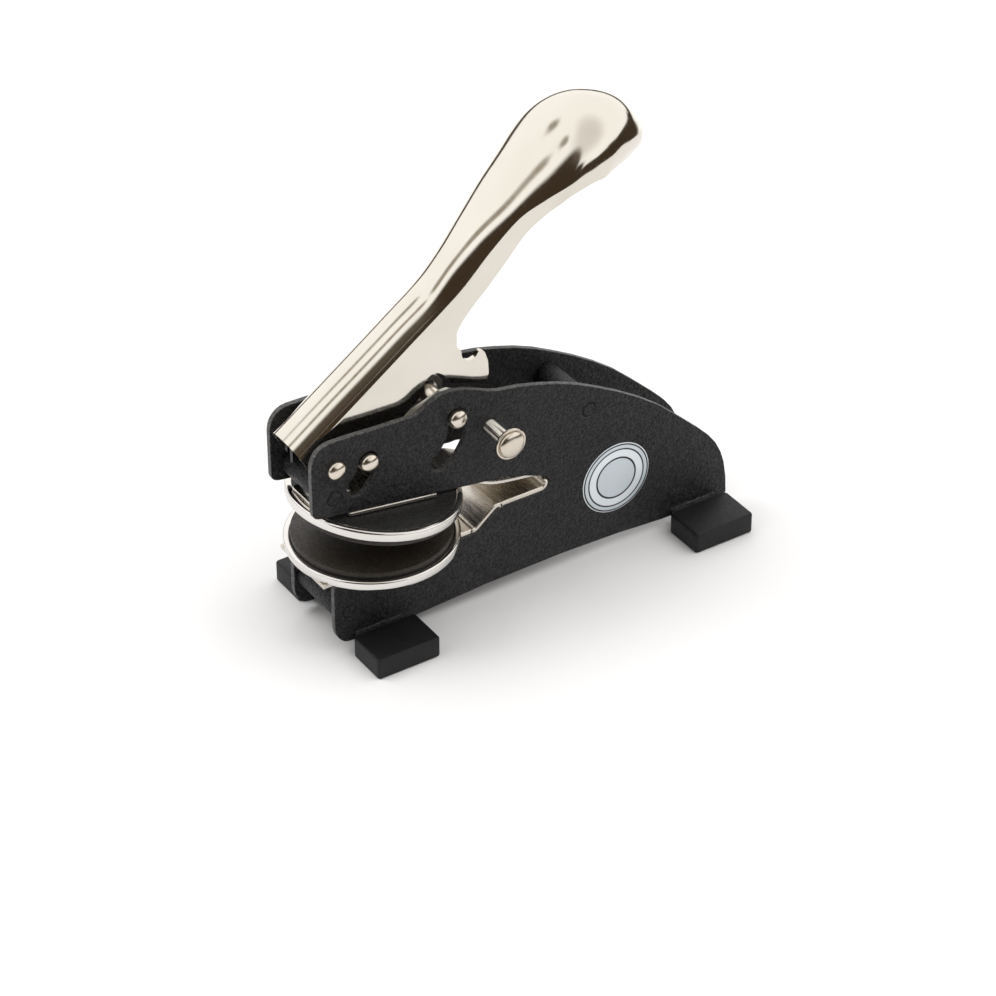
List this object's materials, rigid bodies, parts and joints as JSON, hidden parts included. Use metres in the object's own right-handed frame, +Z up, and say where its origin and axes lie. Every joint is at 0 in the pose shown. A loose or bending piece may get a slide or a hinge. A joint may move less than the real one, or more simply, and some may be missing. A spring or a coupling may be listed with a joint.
{
  "type": "desk embossing press",
  "caption": "Hand-operated lever press with a clip-in round die set that embosses seals and labels on a desk.",
  "frame": {"origin": "centre of the part's bounding box on the surface it stands on", "axes": "+X to the rear of the press, +Y from the lock pin side to the other side, +Z up"},
  "size_m": [0.1218, 0.0484, 0.1239],
  "materials": {
    "plate": "fine wrinkle black powder coat",
    "pin": "bright nickel plate",
    "boot": "smooth matte black",
    "badge": "printed foil, satin",
    "spring_wire": "bright drawn wire",
    "handle": "bright nickel plate",
    "link": "zinc plated",
    "strap": "bright spring steel",
    "disc": "fine wrinkle black powder coat",
    "ring": "polished chrome",
    "die": "dark moulded die face",
    "rivet": "plain"
  },
  "bodies": {
    "frame": {"side_plate_near": "plate", "side_plate_far": "plate", "spacer_upper_front": "plate", "spacer_lower_front": "plate", "spacer_rear": "plate", "pivot_pin": "pin", "boot_front_near": "boot", "boot_front_far": "boot", "boot_rear_near": "boot", "boot_rear_far": "boot", "badge": "badge", "return_spring": "spring_wire"},
    "handle": {"handle": "handle", "crank_pin": "pin"},
    "press_link": {"press_link": "link"},
    "guide_pin": {"guide_pin": "pin"},
    "lock_pin": {"lock_shaft": "pin", "lock_button": "pin"},
    "die_set": {"strap_lower": "strap", "lower_disc": "disc", "lower_ring": "ring", "lower_die": "die", "lower_rivets": "rivet"},
    "upper_die": {"carrier": "strap", "upper_disc": "disc", "upper_ring": "ring", "upper_die": "die", "upper_rivets": "rivet"}
  },
  "joints": [
    {"name": "handle_hinge", "type": "hinge", "parent": "frame", "child": "handle", "pos_m": [-0.05265, 0, 0.0534], "axis": [0, 1, 0], "range_deg": [0, 32], "stiffness_Nm_per_rad": 0.3, "springref_deg": -20.05},
    {"name": "press_link_hinge", "type": "hinge", "parent": "handle", "child": "press_link", "pos_m": [-0.04375, 0, 0.0522], "axis": [0, 1, 0], "range_deg": [-22.5, 0]},
    {"name": "guide_pin_arc", "type": "hinge", "parent": "frame", "child": "guide_pin", "pos_m": [-0.02975, 0, 0.0535], "axis": [0, 1, 0], "range_deg": [0, 50]},
    {"name": "lock_pin_slide", "type": "slide", "parent": "frame", "child": "lock_pin", "axis": [0, 1, 0], "range_m": [0, 0.007]},
    {"name": "die_set_slide", "type": "slide", "parent": "frame", "child": "die_set", "axis": [-1, 0, 0], "range_m": [0, 0.07]},
    {"name": "upper_die_flex", "type": "hinge", "parent": "die_set", "child": "upper_die", "pos_m": [0.00455, 0, 0.0274], "axis": [0, -1, 0], "range_deg": [0, 8.5]}
  ],
  "couplings": [
    {"joint": "press_link_hinge", "follows": "handle_hinge", "ratio": -0.70312},
    {"joint": "guide_pin_arc", "follows": "handle_hinge", "ratio": 1.5625},
    {"joint": "upper_die_flex", "follows": "handle_hinge", "ratio": 0.26562}
  ]
}
